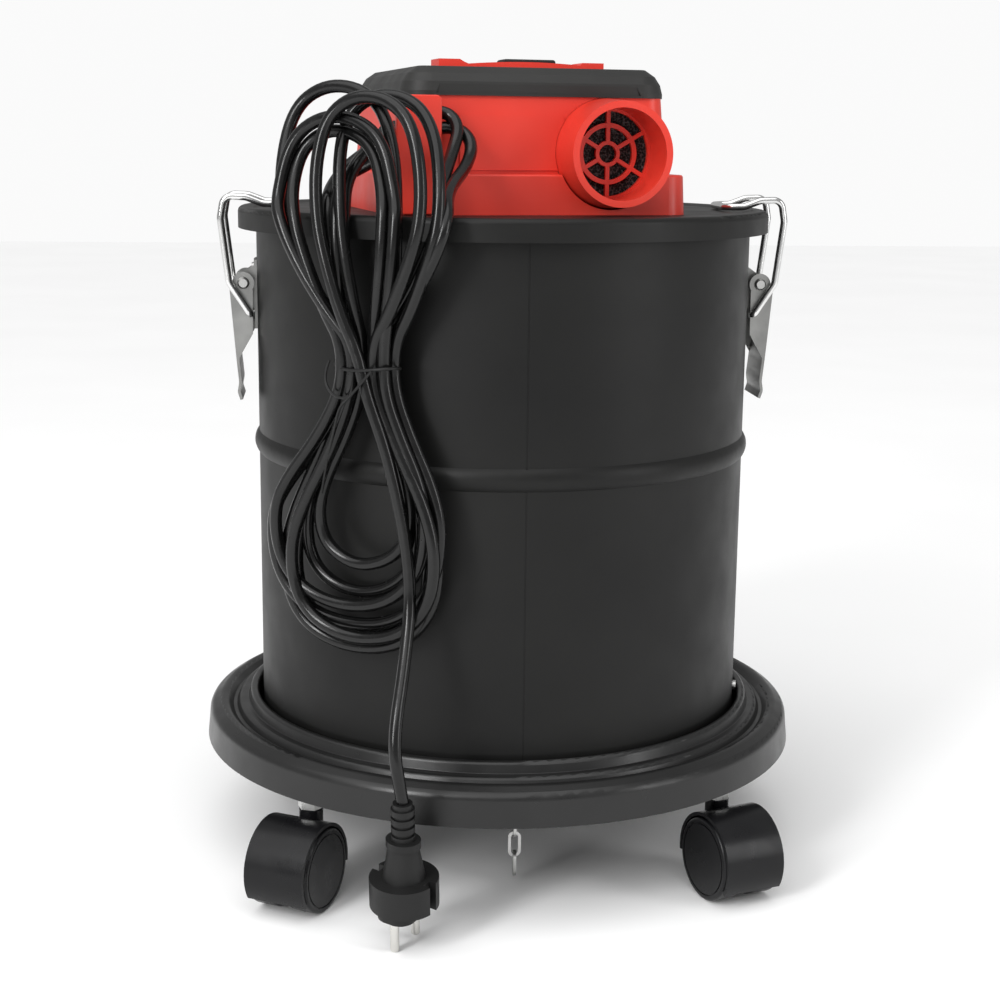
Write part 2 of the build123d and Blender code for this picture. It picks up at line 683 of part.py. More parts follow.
# ------------------------------------------------------------------------- head's cap
with BuildPart() as head_cap:
    with BuildSketch(head_plane(CAP_Z)):
        RectangleRounded(2 * CAP_HALF, 2 * CAP_HALF, CAP_CORNER)
    extrude(amount=CAP_BAND)
    band_z, inset = CAP_Z + CAP_BAND, 0.0
    for rise, lean in CAP_FLANK:
        with BuildSketch(head_plane(band_z)):
            RectangleRounded(2 * (CAP_HALF - inset), 2 * (CAP_HALF - inset), CAP_CORNER - inset)
        extrude(amount=rise, taper=lean)
        band_z += rise
        inset += rise * tan(radians(lean))
    fillet(head_cap.edges().group_by(Axis.Z)[-1], radius=2.0)
    with BuildSketch(head_plane(CAP_Z)):
        RectangleRounded(2 * CAP_HALF - 8, 2 * CAP_HALF - 8, 12)
    extrude(amount=5, mode=Mode.SUBTRACT)
    with BuildSketch(head_plane(CAP_Z)):
        RectangleRounded(CAP_OPENING, CAP_OPENING, 16)
    extrude(amount=30, mode=Mode.SUBTRACT)
    band = head_side((1, 0, 0), (0, -1, 0), (0, -CAP_HALF + 1.0, CAP_Z))
    with BuildSketch(band):
        Polygon((-58, 1.2), (-55, 7.6), (55, 7.6), (58, 1.2), align=None)
    extrude(amount=5, mode=Mode.SUBTRACT)
save(head_cap, "head_cap")

DECK_FLOOR_Z = 432.0
DECK_WALL = 2.5
DECK_HALF = CAP_OPENING / 2 - 0.2
with BuildPart() as top_deck:
    with BuildSketch(head_plane(DECK_FLOOR_Z)):
        RectangleRounded(2 * DECK_HALF, 2 * DECK_HALF, 15.8)
    extrude(amount=CAP_TOP_Z - DECK_FLOOR_Z)
    with BuildSketch(head_plane(DECK_FLOOR_Z + DECK_WALL)):
        RectangleRounded(2 * DECK_HALF - 2 * DECK_WALL, 2 * DECK_HALF - 2 * DECK_WALL, 13.3)
    extrude(amount=40, mode=Mode.SUBTRACT)
save(top_deck, "top_deck")

HANDLE_Y = -28.0
HANDLE_HALF = 48.0
HANDLE_WIDTH = 20.0
PAD_SPAN = (-10.0, 20.0)
handle_floor = DECK_FLOOR_Z + DECK_WALL
handle_plane = head_side((1, 0, 0), (0, -1, 0), (0, HANDLE_Y, 0))
with BuildPart() as carry_handle:
    with BuildSketch(handle_plane):
        with BuildLine():
            Line((-HANDLE_HALF, handle_floor), (-HANDLE_HALF, 461.6))
            Line((-HANDLE_HALF, 461.6), (-36, 461.6))
            ThreePointArc((-36, 461.6), (-33.5, 460.2), (-31, 459.2))
            ThreePointArc((-31, 459.2), (2, 460.6), (34, 459.4))
            Line((34, 459.4), (35.5, 460.8))
            Line((35.5, 460.8), (HANDLE_HALF, 460.8))
            Line((HANDLE_HALF, 460.8), (HANDLE_HALF, handle_floor))
            Line((HANDLE_HALF, handle_floor), (37, handle_floor))
            Line((37, handle_floor), (33, 451.2))
            Line((33, 451.2), (-33, 451.2))
            Line((-33, 451.2), (-37, handle_floor))
            Line((-37, handle_floor), (-HANDLE_HALF, handle_floor))
        make_face()
    extrude(amount=HANDLE_WIDTH / 2, both=True)
    with BuildSketch(head_plane(459.0)):
        with Locations(((PAD_SPAN[0] + PAD_SPAN[1]) / 2, HANDLE_Y)):
            Rectangle(PAD_SPAN[1] - PAD_SPAN[0], 16)
    extrude(amount=10, mode=Mode.SUBTRACT)
save(carry_handle, "carry_handle")

with BuildPart() as handle_pad:
    with BuildSketch(head_plane(459.0)):
        with Locations(((PAD_SPAN[0] + PAD_SPAN[1]) / 2, HANDLE_Y)):
            Rectangle(PAD_SPAN[1] - PAD_SPAN[0], 16)
    extrude(amount=3.2)
    fillet(handle_pad.edges().group_by(Axis.Z)[-1], radius=1.4)
save(handle_pad, "handle_pad")

# ------------------------------------------------------------------------------- switch
with BuildPart() as switch_bezel:
    with BuildSketch(front_face.offset(-7)):
        Rectangle(33.6, 23.6)
    extrude(amount=7.1)
    with BuildSketch(front_face.offset(0.05)):
        RectangleRounded(40, 30, 3)
    extrude(amount=1.8)
    with BuildSketch(front_face.offset(-9)):
        Rectangle(28.4, 2 * ROCKER_R + 0.6)
    extrude(amount=14, mode=Mode.SUBTRACT)
save(switch_bezel, "switch_bezel")

rocker_side = Plane(origin=front_face.origin, x_dir=front_face.z_dir, z_dir=front_face.x_dir)
with BuildPart() as switch_rocker:
    with BuildSketch(rocker_side):
        Circle(ROCKER_R)
        Polygon((-5, -12), (4.2, -12), (2.2, 0), (4.0, 12), (-5, 12), align=None, mode=Mode.INTERSECT)
    extrude(amount=13.9, both=True)
save(switch_rocker, "switch_rocker")

# ----------------------------------------------------------- cord hook and strain relief
with BuildPart() as cord_hook:
    with BuildSketch(head_side((1, 0, 0), (0, -1, 0), (0, -BASE_HALF - 0.1, 0))):
        with Locations((-70.2, 409.5)):
            RectangleRounded(24.6, 62.4, 3)
    extrude(amount=4.0)
    fillet(cord_hook.edges().filter_by(GeomType.CIRCLE), radius=0.8)
    with BuildSketch(head_plane(BASE_TOP_Z + 0.05)):
        with Locations((-70.2, -81.4)):
            Rectangle(18, 8.6)
    extrude(amount=3.2)
save(cord_hook, "cord_hook")

RELIEF_LENGTH = 26.0
relief_start = (-BODY_HALF + 0.4, -60.0, 423.0)
relief_direction = Vector(-0.75, -0.45, -0.48).normalized()
relief_tip = tuple(start + RELIEF_LENGTH * step for start, step in zip(relief_start, relief_direction))
relief_axis = Vector(*head_point(*relief_direction))
with BuildPart() as strain_relief:
    relief_plane = Plane(origin=head_point(*relief_start), z_dir=relief_axis)
    with BuildSketch(relief_plane):
        Circle(5.0)
    extrude(amount=RELIEF_LENGTH, taper=2)
    for rib in range(4):
        with BuildSketch(relief_plane.offset(5.5 + 5.0 * rib)):
            Circle(6.4 - 0.35 * rib)
        extrude(amount=2.8)
save(strain_relief, "strain_relief")

# -------------------------------------------------------------------------------- motor
MOUNT_Z = LID_TOP_Z + 0.05
FAN_Z = 381.6
CAN_Z = 389.5
with BuildPart() as motor_mount:
    with BuildSketch(Plane.XY.offset(MOUNT_Z)):
        Circle(70)
        Circle(20, mode=Mode.SUBTRACT)
    extrude(amount=2.6)
save(motor_mount, "motor_mount")

with BuildPart() as motor_can:
    with BuildSketch(Plane.XY.offset(CAN_Z)):
        Circle(56)
    extrude(amount=2)
    with BuildSketch(Plane.XY.offset(CAN_Z)):
        Circle(48)
    extrude(amount=37.5)
    with BuildSketch(Plane.XY.offset(CAN_Z + 2)):
        Circle(46)
    extrude(amount=33.5, mode=Mode.SUBTRACT)
    with BuildSketch(Plane.XY.offset(CAN_Z)):
        Circle(STEM_R + RUNNING)
    extrude(amount=35, mode=Mode.SUBTRACT)
    with BuildSketch(Plane.XY.offset(MOUNT_Z + 2.6)):
        with PolarLocations(52, 3, start_angle=30):
            Circle(3)
    extrude(amount=CAN_Z - MOUNT_Z - 2.6)
save(motor_can, "motor_can")

with BuildPart() as motor_rotor:
    with BuildSketch(Plane.XY.offset(FAN_Z)):
        Circle(44)
    extrude(amount=1.4)
    with BuildSketch(Plane.XY.offset(FAN_Z)):
        with PolarLocations(27, 8):
            Rectangle(32, 1.6, rotation=28)
    extrude(amount=6)
    with BuildSketch(Plane.XY.offset(FAN_Z)):
        Circle(STEM_R)
    extrude(amount=CAN_Z + 33 - FAN_Z)
    with BuildSketch(Plane.XY.offset(CAN_Z + 5)):
        Circle(29)
    extrude(amount=24)
save(motor_rotor, "motor_rotor")

# ------------------------------------------------------------------------------- filter
CAGE_TOP_Z = LID_Z - LID_SHEET / 2 - 0.05
CAGE_FLOOR_Z = 226.0
with BuildPart() as filter_cage:
    with BuildSketch(Plane.XY.offset(CAGE_TOP_Z - 2.4)):
        Circle(66)
        Circle(38, mode=Mode.SUBTRACT)
    extrude(amount=2.4)
    with BuildSketch(Plane.XY.offset(CAGE_FLOOR_Z)):
        with PolarLocations(42, 10):
            Circle(2.2)
    extrude(amount=CAGE_TOP_Z - CAGE_FLOOR_Z)
    for height in (CAGE_FLOOR_Z + 50, CAGE_FLOOR_Z + 98):
        with BuildSketch(Plane.XY.offset(height)):
            Circle(44)
            Circle(40.5, mode=Mode.SUBTRACT)
        extrude(amount=3)
    with BuildSketch(Plane.XY.offset(CAGE_FLOOR_Z - 0.5)):
        Circle(45.2)
    extrude(amount=3)
    with BuildSketch(Plane.XY.offset(204)):
        Circle(4)
    extrude(amount=CAGE_FLOOR_Z - 204)
save(filter_cage, "filter_cage")

PLEATS = 40
pleat_points = [
    polar(67.0 if step % 2 else 49.0, step * 180 / PLEATS)[:2] for step in range(2 * PLEATS)
]
with BuildPart() as filter_cartridge:
    with BuildSketch(Plane.XY.offset(224.0)):
        Polygon(*pleat_points, align=None)
        Circle(47.0, mode=Mode.SUBTRACT)
    extrude(amount=145)
    with BuildSketch(Plane.XY.offset(369.0)):
        Circle(70)
        Circle(46.5, mode=Mode.SUBTRACT)
    extrude(amount=CAGE_TOP_Z - 2.45 - 369.0)
    with BuildSketch(Plane.XY.offset(220.0)):
        Circle(70)
        Circle(4.4, mode=Mode.SUBTRACT)
    extrude(amount=4.5)
save(filter_cartridge, "filter_cartridge")

with BuildPart() as filter_nut:
    with BuildSketch(Plane.XY.offset(208)):
        Circle(15)
        with PolarLocations(15, 5):
            Circle(5)
        Circle(4, mode=Mode.SUBTRACT)
    extrude(amount=11.9)
save(filter_nut, "filter_nut")

# ----------------------------------------------------------------------------- the plug
PIN_LENGTH = 19.0
PIN_R = 2.4
PIN_PITCH = 19.0
PLUG_LENGTH = 64.0
PLUG_FACE = (-65.9, -185.9, 20.2)
plug_axis = Vector(0.022, 0.13, -0.99).normalized()
plug_face = Vector(*PLUG_FACE)
pin_line = Vector(cos(radians(53)), sin(radians(53)), 0)
pin_line = (pin_line - plug_axis * pin_line.dot(plug_axis)).normalized()
plug_plane = Plane(origin=plug_face, x_dir=pin_line, z_dir=plug_axis)
plug_top = plug_face - plug_axis * PLUG_LENGTH

with BuildPart() as plug_body:
    with BuildSketch(plug_plane.offset(-PLUG_LENGTH)):
        Circle(5.2)
    extrude(amount=24)
    for rib in range(4):
        with BuildSketch(plug_plane.offset(-PLUG_LENGTH + 3 + 5 * rib)):
            Circle(6.3)
        extrude(amount=3.2)
    with BuildSketch(plug_plane.offset(-43)):
        Ellipse(8.4, 9.6)
    extrude(amount=4)
    with BuildSketch(plug_plane.offset(-40)):
        Ellipse(7.4, 8.2)
    with BuildSketch(plug_plane.offset(-14)):
        Ellipse(13.0, 12.4)
    loft()
    with BuildSketch(plug_plane.offset(-21)):
        Circle(18.4)
        with Locations((0, 18.4), (0, -18.4)):
            Rectangle(5.4, 9, mode=Mode.SUBTRACT)
    extrude(amount=16)
    with BuildSketch(plug_plane.offset(-8)):
        RectangleRounded(30, 21, 8)
    extrude(amount=8)
    with BuildSketch(plug_plane.offset(-12)):
        with GridLocations(PIN_PITCH, 1, 2, 1):
            Circle(PIN_R)
    extrude(amount=14, mode=Mode.SUBTRACT)
save(plug_body, "plug_body")

with BuildPart() as plug_pins:
    with BuildSketch(plug_plane.offset(-12)):
        with GridLocations(PIN_PITCH, 1, 2, 1):
            Circle(PIN_R)
    extrude(amount=12 + PIN_LENGTH)
    pin_tips = plug_pins.edges().filter_by(GeomType.CIRCLE).sort_by(Axis(plug_face, plug_axis))[-2:]
    fillet(pin_tips, radius=1.2)
save(plug_pins, "plug_pins")

# ----------------------------------------------------------------------------- the cord
# Each section of the hank: height, place along it, distance from the drum's axis,
# half its width and half its depth. It is pinched where the tie holds it.
hank_sections = [
    (143, -8, 154.5, 9, 4.5),
    (150, -8, 155.0, 30, 5.5),
    (165, -8, 155.8, 44, 6.5),
    (195, -8, 156.6, 53, 7.5),
    (225, -4, 157.4, 47, 8.0),
    (255, 1, 158.2, 34, 9.0),
    (280, 3, 159.2, 25, 10.0),
    (TIE_Z - 2, 3.5, 160.0, 19, 10.5),
    (TIE_Z + 2, 3.5, 160.0, 19, 10.5),
    (320, 1.5, 162.0, 24, 11.0),
    (342, -5, 166.0, 36, 9.4),
    (362, -8, 167.0, 47, 9.0),
    (383, -10, 166.0, 53, 8.5),
    (403, -10, 153.0, 51, 9.0),
    (422, -9, 141.0, 43, 9.0),
    (438, -10, 136.5, 33, 8.0),
    (448, -12, 135.0, 18, 5.0),
]
with BuildPart() as cord_hank:
    for height, along, out, half_width, half_depth in hank_sections:
        with BuildSketch(hank_plane(height)):
            with Locations((along, -out)):
                RectangleRounded(2 * half_width, 2 * half_depth, 0.85 * half_depth)
    loft(ruled=True)
save(cord_hank, "cord_hank")

with BuildPart() as cord_tie:
    with BuildSketch(hank_plane(TIE_Z - 1.5)):
        with Locations((3.5, -160.0)):
            RectangleRounded(2 * 21.2, 2 * 12.7, 10.5)
            RectangleRounded(2 * 19.1, 2 * 10.6, 8.8, mode=Mode.SUBTRACT)
    extrude(amount=3.0)
save(cord_tie, "cord_tie")

lead_route = [
    head_point(*relief_tip),
    (-92.0, -95.2, 404.0),
    (-98.5, -104.5, 396.5),
    (-102.2, -114.4, 390.3),
    (-103.2, -124.2, 385.6),
]
save(cord_tube(lead_route, "cord_lead"), "cord_lead")

tail_route = [
    (-62.0, -160.3, 178.0),
    (-64.2, -168.8, 160.0),
    (-67.2, -180.4, 142.2),
    (-70.4, -190.6, 127.0),
    (-71.6, -196.2, 111.5),
    (-69.4, -197.6, 96.8),
    tuple(plug_top),
]
save(cord_tube(tail_route, "cord_tail"), "cord_tail")
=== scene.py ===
from math import cos, pi, radians, sin

import bmesh
import bpy
from mathutils import Matrix, Vector


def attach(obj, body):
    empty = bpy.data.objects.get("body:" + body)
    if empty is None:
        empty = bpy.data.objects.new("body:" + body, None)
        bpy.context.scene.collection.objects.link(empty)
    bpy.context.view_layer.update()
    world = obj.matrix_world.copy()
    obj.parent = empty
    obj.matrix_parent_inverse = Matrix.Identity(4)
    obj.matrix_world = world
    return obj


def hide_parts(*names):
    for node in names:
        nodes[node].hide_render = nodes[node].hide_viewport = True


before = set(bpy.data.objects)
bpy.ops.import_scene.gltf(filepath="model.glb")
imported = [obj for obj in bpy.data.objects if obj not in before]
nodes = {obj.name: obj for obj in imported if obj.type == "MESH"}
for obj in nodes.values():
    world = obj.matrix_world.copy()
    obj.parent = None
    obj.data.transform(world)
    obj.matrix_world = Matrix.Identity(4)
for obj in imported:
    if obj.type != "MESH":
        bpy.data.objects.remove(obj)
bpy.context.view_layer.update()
scene = bpy.context.scene

# ------------------------------------------------------------------------------- camera
EYE = Vector((-0.1008, -1.0473, 0.4193))
LOOK = Vector((0.0958, 0.9954, 0.0)).normalized()
PITCH = radians(11.68)
ROLL = radians(0.63)
LENS_MM = 63.23
SENSOR_MM = 36.0
forward = Vector((LOOK.x * cos(PITCH), LOOK.y * cos(PITCH), -sin(PITCH)))
level_right = Vector((LOOK.y, -LOOK.x, 0.0))
level_up = level_right.cross(forward)
right = level_right * cos(ROLL) + level_up * sin(ROLL)
up = level_up * cos(ROLL) - level_right * sin(ROLL)
turn = Matrix((right, up, -forward)).transposed()
camera_data = bpy.data.cameras.new("camera")
camera_data.lens = LENS_MM
camera_data.sensor_width = SENSOR_MM
camera_data.clip_start = 0.01
camera = bpy.data.objects.new("camera", camera_data)
camera.matrix_world = Matrix.Translation(EYE) @ turn.to_4x4()
scene.collection.objects.link(camera)
scene.camera = camera

# --------------------------------------------------------------------------------- cord
CORD_D = 0.0068
HANK_TURN = radians(32.5)
ALONG = Vector((cos(HANK_TURN), -sin(HANK_TURN), 0.0))
OUT = Vector((-sin(HANK_TURN), -cos(HANK_TURN), 0.0))
STACK_LEAN = 0.64  # sideways shift for each mm out past LEAN_FROM
LEAN_FROM = 150
TIE_Z = 302.0
TIE_REACH = 12  # the strands stay together this far above and below the tie


def hank(u, out, z):
    """A point of the hank, in metres: across it, out from the drum's axis, and height, in mm.

    The layers of strands stack towards the rear, not square to the hank's face."""
    across = u + STACK_LEAN * (out - LEAN_FROM)
    return (ALONG * across + OUT * out + Vector((0, 0, z))) / 1000


def mix(a, b, share):
    """The number that lies this share of the way from a to b."""
    return a + (b - a) * share


def mm(*point):
    """A point given in millimetres, in metres."""
    return Vector(point) / 1000


lead_route = [
    mm(-82.5, -86.5, 410.5),
    mm(-92.0, -95.2, 404.0),
    mm(-98.5, -104.5, 396.5),
    mm(-102.2, -114.4, 390.3),
    mm(-103.2, -124.2, 385.6),
]
tail_route = [
    mm(-62.0, -160.3, 178.0),
    mm(-64.2, -168.8, 160.0),
    mm(-67.2, -180.4, 142.2),
    mm(-70.4, -190.6, 127.0),
    mm(-71.6, -196.2, 111.5),
    mm(-69.4, -197.6, 96.8),
    mm(-67.3, -194.2, 83.6),
]

# Where the strands pass through the tie: across the hank, and out from the drum's axis.
COLUMNS = [-18.7, -12.4, -6.1, 0.2, 6.5, 12.8]
LAYERS = [153.8, 160.2, 166.6]
going_down = [(1, 0), (0, 0), (0, 1), (1, 1), (2, 1), (0, 2), (1, 2)]
going_up = [(3, 0), (4, 0), (5, 0), (5, 1), (3, 1), (4, 2), (3, 2)]


def strand_place(spot):
    """Where a strand crosses the tie, from its column and layer."""
    column, layer = spot
    return COLUMNS[column], LAYERS[layer]


# Each turn's lower loop: left and right edge, lowest point, distance out.
# Then its upper loop: left and right edge, highest point, height of the widest part,
# distance out at the top, distance out over the lid's rim.
turns = [
    ((-41, 27, 179, 151.5), (-17, 40, 431, 408, 107.5, 162.0)),
    ((-48, 34, 155, 153.0), (-22, 44, 423, 404, 107.5, 165.0)),
    ((-55, 39, 149, 155.5), (-54, 14, 443, 402, 133.0, 162.0)),
    ((-63, 40, 163, 158.5), (-19, 38, 438, 406, 141.0, 165.5)),
    ((-33, 22, 197, 160.0), (-47, 6, 420, 390, 148.0, 168.0)),
    ((-61, 31, 174, 163.0), (-56, 13, 427, 384, 153.0, 169.0)),
    ((-51, 36, 158, 166.5), (-33, 27, 437, 400, 158.0, 172.0)),
]
BEHIND_HOOK = 2  # the first turns pass behind the hook plate
STRAND_LIFT = 8.0  # the upper strand in the plate's slot lies this much above the lower one
STRAND_REACH = 7.0  # the lower strand reaches this much further right

route = list(lead_route)
route += [hank(-26, 163.0, 365), hank(-19, 158.0, 336)]
for turn_number, (lower, upper) in enumerate(turns):
    left, right_edge, bottom, out = lower
    down_u, down_out = strand_place(going_down[turn_number])
    up_u, up_out = strand_place(going_up[turn_number])
    middle = mix(left, right_edge, 0.5)
    half = (right_edge - left) / 2
    widest = bottom + half
    low = TIE_Z - TIE_REACH
    route += [
        hank(down_u, down_out, TIE_Z + TIE_REACH),
        hank(down_u, down_out, low),
        hank(mix(down_u, left, 0.36), mix(down_out, out, 0.4), mix(low, widest, 0.38)),
        hank(mix(down_u, left, 0.84), mix(down_out, out, 0.8), mix(low, widest, 0.74)),
        hank(left * 1.03, out, widest),
        hank(middle - 0.97 * half, out - 1, bottom + 0.44 * half),
        hank(middle - 0.66 * half, out - 1, bottom + 0.08 * half),
        hank(middle - 0.12 * half, out - 1, bottom - 3),
        hank(middle + 0.5 * half, out, bottom + 2),
        hank(middle + 0.94 * half, out, bottom + 0.46 * half),
        hank(right_edge * 1.04, out, widest + 4),
        hank(mix(up_u, right_edge, 0.86), mix(up_out, out, 0.8), mix(low, widest, 0.66)),
        hank(mix(up_u, right_edge, 0.4), mix(up_out, out, 0.4), mix(low, widest, 0.34)),
        hank(up_u, up_out, low),
        hank(up_u, up_out, TIE_Z + TIE_REACH),
    ]
    left, right_edge, top, wide, top_out, rim_out = upper
    middle = mix(left, right_edge, 0.5)
    half = (right_edge - left) / 2
    after_u, after_out = COLUMNS[1], LAYERS[2] + 4
    if turn_number + 1 < len(turns):
        after_u, after_out = strand_place(going_down[turn_number + 1])
    route += [
        hank(mix(up_u, right_edge, 0.35), mix(up_out, rim_out, 0.6), 330),
        hank(mix(up_u, right_edge, 0.75), rim_out, 356),
    ]
    if turn_number < BEHIND_HOOK:
        upper_strand = BEHIND_HOOK - 1 - turn_number
        lift = STRAND_LIFT * upper_strand
        beyond = STRAND_REACH * (1 - upper_strand)
        route += [
            hank(right_edge, rim_out - 2, 378),
            hank(right_edge + 1, rim_out - 21, 392),
            mm(-37.0 + beyond, -106.0 - beyond, 404.0 + lift),
            mm(-33.0 + beyond, -95.5 - 0.6 * beyond, 416.5 + lift),
            mm(-39.5 + 0.8 * beyond, -89.2, 424.5 + lift),
            mm(-51.0 + 0.3 * beyond, -90.2, 423.0 + lift),
            mm(-61.0, -92.1, 417.0 + lift),
            mm(-71.5, -94.5, 411.0 + lift),
            mm(-82.5, -103.0, 404.0 + lift),
            hank(left + 2, 148, 397),
            hank(left, rim_out - 1, 380),
        ]
    else:
        route += [
            hank(right_edge * 1.03, rim_out - 1.5, 378),
            hank(right_edge * 1.04, mix(rim_out, top_out, 0.5), wide + 4),
            hank(middle + 0.84 * half, top_out + 3, mix(wide, top, 0.74)),
            hank(middle + 0.38 * half, top_out, top + 1),
            hank(middle - 0.26 * half, top_out, top + 2),
            hank(middle - 0.8 * half, top_out + 2, mix(wide, top, 0.76)),
            hank(left * 1.03, mix(rim_out, top_out, 0.5), wide + 4),
            hank(left * 1.02, rim_out - 1.5, 377),
        ]
    route += [
        hank(mix(after_u, left, 0.76), rim_out, 354),
        hank(mix(after_u, left, 0.34), mix(after_out, rim_out, 0.6), 329),
    ]
route += [
    hank(COLUMNS[1] + 3, LAYERS[2] + 4, TIE_Z + 8),
    hank(-4, LAYERS[2] + 4.4, TIE_Z - 14),
    hank(7, 170, 262),
    hank(17, 168, 226),
    hank(21.5, 167.5, 198),
]
route += tail_route

cord_curve = bpy.data.curves.new("mains_cord", "CURVE")
cord_curve.dimensions = "3D"
spline = cord_curve.splines.new("NURBS")
spline.points.add(len(route) - 1)
for point, place in zip(spline.points, route):
    point.co = (*place, 1.0)
    point.radius = CORD_D / 2
spline.order_u = 3
spline.use_endpoint_u = True
spline.resolution_u = 6
cord_curve.resolution_u = 6
cord_curve.bevel_depth = 1.0  # times each point's radius
cord_curve.bevel_resolution = 5
cord_curve.use_fill_caps = True
cord = bpy.data.objects.new("mains_cord", cord_curve)
scene.collection.objects.link(cord)
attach(cord, "lid")
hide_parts("cord_lead", "cord_hank", "cord_tail")


# ---------------------------------------------------------------------------- materials
class Finish:
    """A material whose colour, roughness and bump come from procedural textures."""

    def __init__(self, name, **constants):
        self.material = bpy.data.materials.new(name)
        self.material.use_nodes = True
        self.tree = self.material.node_tree
        self.shader = self.tree.nodes["Principled BSDF"]
        for socket, value in constants.items():
            self.shader.inputs[socket.replace("_", " ")].default_value = value
        self.place = self.tree.nodes.new("ShaderNodeTexCoord").outputs["Object"]
        self.normal = None

    def link(self, output, target):
        self.tree.links.new(output, target)

    def noise(self, scale, detail=3.0, stretch=None, roughness=0.5):
        """Noise of a given number of grains per metre, stretched along an axis if asked."""
        node = self.tree.nodes.new("ShaderNodeTexNoise")
        node.inputs["Scale"].default_value = scale
        node.inputs["Detail"].default_value = detail
        node.inputs["Roughness"].default_value = roughness
        self.link(self.stretched(stretch), node.inputs["Vector"])
        return node.outputs["Fac"]

    def stretched(self, stretch):
        if not stretch:
            return self.place
        mapping = self.tree.nodes.new("ShaderNodeMapping")
        mapping.inputs["Scale"].default_value = stretch
        self.link(self.place, mapping.inputs["Vector"])
        return mapping.outputs["Vector"]

    def cells(self, scale, feature="F1"):
        node = self.tree.nodes.new("ShaderNodeTexVoronoi")
        node.feature = feature
        node.inputs["Scale"].default_value = scale
        self.link(self.place, node.inputs["Vector"])
        return node.outputs["Distance"]

    def ramp(self, source, *stops):
        """Colours along a noise value, each stop a position and a colour."""
        node = self.tree.nodes.new("ShaderNodeValToRGB")
        elements = node.color_ramp.elements
        while len(elements) < len(stops):
            elements.new(0.5)
        for element, (position, colour) in zip(elements, stops):
            element.position = position
            element.color = (*colour, 1.0)
        self.link(source, node.inputs["Fac"])
        return node.outputs["Color"]

    def between(self, source, low, high, from_low=0.3, from_high=0.7):
        node = self.tree.nodes.new("ShaderNodeMapRange")
        node.inputs["From Min"].default_value = from_low
        node.inputs["From Max"].default_value = from_high
        node.inputs["To Min"].default_value = low
        node.inputs["To Max"].default_value = high
        self.link(source, node.inputs["Value"])
        return node.outputs["Result"]

    def colour(self, output):
        self.link(output, self.shader.inputs["Base Color"])
        return self

    def rough(self, output):
        self.link(output, self.shader.inputs["Roughness"])
        return self

    def bump(self, height, distance, strength=0.6):
        """Adds one layer of relief, of a depth in metres."""
        node = self.tree.nodes.new("ShaderNodeBump")
        node.inputs["Strength"].default_value = strength
        node.inputs["Distance"].default_value = distance
        self.link(height, node.inputs["Height"])
        if self.normal:
            self.link(self.normal, node.inputs["Normal"])
        self.normal = node.outputs["Normal"]
        self.link(self.normal, self.shader.inputs["Normal"])
        return self


def grained_plastic(name, dark, light, grain, depth, low, high, **constants):
    """Moulded plastic: faint tone drift, a fine moulded grain and handling marks."""
    finish = Finish(name, **constants)
    drift = finish.noise(14, 4)
    finish.colour(finish.ramp(drift, (0.3, dark), (0.72, light)))
    finish.rough(finish.between(finish.noise(60, 5), low, high))
    finish.bump(finish.noise(grain, 2), depth, 0.5)
    finish.bump(finish.noise(22, 2), depth * 2.5, 0.25)
    return finish.material


def bare_metal(name, dark, light, low, high, stretch, **constants):
    """Plated steel with drawn marks along one direction and faint stains."""
    finish = Finish(name, Metallic=1.0, **constants)
    finish.colour(finish.ramp(finish.noise(45, 5), (0.3, dark), (0.7, light)))
    finish.rough(finish.between(finish.noise(160, 4, stretch), low, high))
    finish.bump(finish.noise(420, 3, stretch), 0.00004, 0.4)
    return finish.material


drum_paint = Finish("drum_powder_coat", Specular_IOR_Level=0.22)
drum_paint.colour(
    drum_paint.ramp(
        drum_paint.noise(9, 5),
        (0.3, (0.005, 0.005, 0.005)),
        (0.75, (0.009, 0.009, 0.0085)),
    )
)
drum_paint.rough(drum_paint.between(drum_paint.noise(40, 6), 0.40, 0.50))
drum_paint.bump(drum_paint.noise(1500, 2), 0.00005, 0.35)
drum_paint.bump(drum_paint.noise(18, 2, (1, 1, 0.35)), 0.0005, 0.18)

tray_plastic = grained_plastic(
    "tray_plastic", (0.007, 0.007, 0.007), (0.012, 0.012, 0.012), 1400, 0.00005, 0.27, 0.38,
    Specular_IOR_Level=0.4,
)
cap_plastic = grained_plastic(
    "cap_plastic", (0.014, 0.014, 0.0135), (0.022, 0.022, 0.021), 1100, 0.00012, 0.44, 0.56,
    Specular_IOR_Level=0.35,
)
caster_plastic = grained_plastic(
    "caster_plastic", (0.004, 0.004, 0.0045), (0.008, 0.008, 0.009), 900, 0.00004, 0.24, 0.36,
    Specular_IOR_Level=0.25,
)
red_plastic = grained_plastic(
    "red_plastic", (0.60, 0.030, 0.017), (0.71, 0.046, 0.027), 1000, 0.00004, 0.30, 0.42,
    Specular_IOR_Level=0.45, Subsurface_Weight=0.04, Subsurface_Scale=0.004,
)
rubber = grained_plastic(
    "black_rubber", (0.006, 0.006, 0.006), (0.011, 0.011, 0.011), 800, 0.00007, 0.42, 0.56,
    Specular_IOR_Level=0.3,
)
cage_plastic = grained_plastic(
    "cage_plastic", (0.035, 0.035, 0.035), (0.055, 0.055, 0.055), 900, 0.00005, 0.4, 0.55,
    Specular_IOR_Level=0.4,
)

sheath = Finish("cord_pvc", Specular_IOR_Level=0.36)
sheath.colour(
    sheath.ramp(
        sheath.noise(30, 3),
        (0.3, (0.003, 0.003, 0.003)),
        (0.7, (0.006, 0.006, 0.006)),
    )
)
sheath.rough(sheath.between(sheath.noise(220, 4), 0.17, 0.28))
sheath.bump(sheath.noise(260, 2), 0.00008, 0.3)
cord.data.materials.append(sheath.material)

